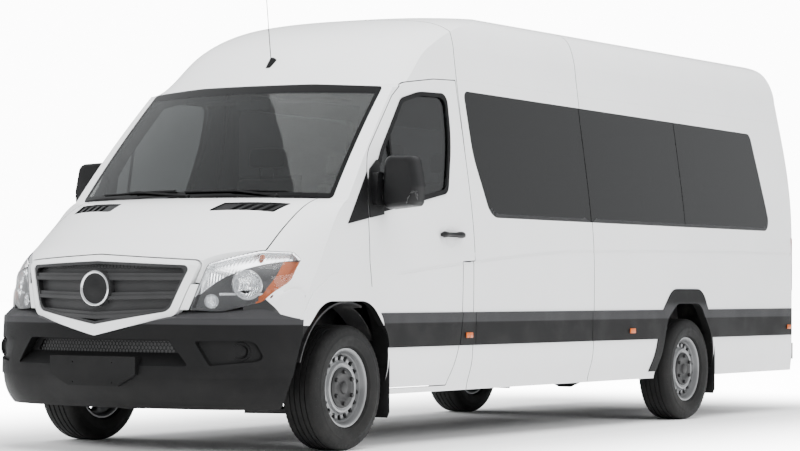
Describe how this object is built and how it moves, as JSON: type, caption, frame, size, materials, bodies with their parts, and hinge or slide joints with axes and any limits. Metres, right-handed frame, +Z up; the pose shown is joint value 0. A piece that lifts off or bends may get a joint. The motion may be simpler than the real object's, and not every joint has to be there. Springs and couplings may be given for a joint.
{
  "type": "minibus",
  "caption": "High-roof passenger van on four wheels: steered front wheels, hinged cab doors, rear doors and bonnet, long dark side windows, rows of seats.",
  "frame": {"origin": "on the ground under the middle of the vehicle's box", "axes": "+Z up, the vehicle faces -Y, its left flank is at +X"},
  "size_m": [2.453, 7.391, 2.6402],
  "materials": {
    "body_paint": "gloss white paint",
    "dark_plastic": "grained dark grey moulding",
    "black_gloss": "black plastic, satin",
    "lamp_lens": "clear cover over a bright housing",
    "lamp_housing": "bright metallised bowls in a grey bezel",
    "tail_lens": "red and clear lens",
    "screen_glass": "laminated, lightly tinted",
    "privacy_glass": "dark tinted",
    "chassis_black": "satin black",
    "wheel_silver": "silver paint",
    "tyre": "moulded tread and sidewall",
    "cast": "machined and cast",
    "exhaust_steel": "dull",
    "cabin_trim": "grained dash",
    "seat_cloth": "woven dark grey"
  },
  "bodies": {
    "root": {"lamp_covers": "lamp_lens", "headlamps": "lamp_housing", "grille_frame": "body_paint", "wings": "body_paint", "roof": "body_paint", "cab_frame": "body_paint", "side_wall_left": "body_paint", "side_wall_right": "body_paint", "sliding_door": "body_paint", "side_glass": "privacy_glass", "windscreen": "screen_glass", "rear_bumper": "dark_plastic", "tail_lamps": "tail_lens", "side_mouldings": "dark_plastic", "front_bumper": "dark_plastic", "grille": "black_gloss", "floor_frame": "chassis_black", "engine": "cast", "front_subframe": "chassis_black", "rear_axle": "chassis_black", "fuel_tank": "chassis_black", "exhaust": "exhaust_steel", "front_seats": "seat_cloth", "rear_seats": "seat_cloth", "dashboard": "cabin_trim", "antenna": "black_gloss"},
    "bonnet": {"bonnet": "body_paint", "bonnet_vents": "black_gloss"},
    "door_left": {"door_left": "body_paint", "door_glass_left": "screen_glass", "door_moulding_left": "dark_plastic", "mirror_left": "black_gloss"},
    "door_right": {"door_right": "body_paint", "door_glass_right": "screen_glass", "door_moulding_right": "dark_plastic", "mirror_right": "black_gloss"},
    "rear_door_left": {"rear_door_left": "body_paint", "rear_glass_left": "privacy_glass"},
    "rear_door_right": {"rear_door_right": "body_paint", "rear_glass_right": "privacy_glass"},
    "knuckle_left": {"knuckle_left": "cast"},
    "knuckle_right": {"knuckle_right": "cast"},
    "wheel_front_left": {"tyre_front_left": "tyre", "rim_front_left": "wheel_silver"},
    "wheel_front_right": {"tyre_front_right": "tyre", "rim_front_right": "wheel_silver"},
    "wheel_rear_left": {"tyre_rear_left": "tyre", "rim_rear_left": "wheel_silver"},
    "wheel_rear_right": {"tyre_rear_right": "tyre", "rim_rear_right": "wheel_silver"}
  },
  "joints": [
    {"name": "bonnet_hinge", "type": "hinge", "parent": "root", "child": "bonnet", "pos_m": [0, -2.7355, 1.391], "axis": [-1, 0, 0], "range_deg": [0, 60]},
    {"name": "door_left_hinge", "type": "hinge", "parent": "root", "child": "door_left", "pos_m": [1, -2.4625, 0.9], "axis": [0, 0, -1], "range_deg": [0, 70]},
    {"name": "door_right_hinge", "type": "hinge", "parent": "root", "child": "door_right", "pos_m": [-1, -2.4625, 0.9], "axis": [0, 0, 1], "range_deg": [0, 70]},
    {"name": "rear_door_left_hinge", "type": "hinge", "parent": "root", "child": "rear_door_left", "pos_m": [0.804, 3.58847, 1.3], "axis": [0, 0, -1], "range_deg": [0, 180]},
    {"name": "rear_door_right_hinge", "type": "hinge", "parent": "root", "child": "rear_door_right", "pos_m": [-0.804, 3.58847, 1.3], "axis": [0, 0, 1], "range_deg": [0, 180]},
    {"name": "steer_left", "type": "hinge", "parent": "root", "child": "knuckle_left", "pos_m": [0.79, -2.6345, 0.24], "axis": [-0.2203, 0, 0.9754], "range_deg": [-34, 34]},
    {"name": "steer_right", "type": "hinge", "parent": "root", "child": "knuckle_right", "pos_m": [-0.79, -2.6345, 0.24], "axis": [0.2203, 0, 0.9754], "range_deg": [-34, 34]},
    {"name": "wheel_front_left_spin", "type": "hinge", "parent": "knuckle_left", "child": "wheel_front_left", "pos_m": [0.855, -2.6345, 0.35], "axis": [1, 0, 0], "continuous": true},
    {"name": "wheel_rear_left_spin", "type": "hinge", "parent": "root", "child": "wheel_rear_left", "pos_m": [0.858, 1.6905, 0.35], "axis": [1, 0, 0], "continuous": true},
    {"name": "wheel_front_right_spin", "type": "hinge", "parent": "knuckle_right", "child": "wheel_front_right", "pos_m": [-0.855, -2.6345, 0.35], "axis": [1, 0, 0], "continuous": true},
    {"name": "wheel_rear_right_spin", "type": "hinge", "parent": "root", "child": "wheel_rear_right", "pos_m": [-0.858, 1.6905, 0.35], "axis": [1, 0, 0], "continuous": true}
  ],
  "couplings": [
    {"joint": "steer_right", "follows": "steer_left", "ratio": 1}
  ]
}
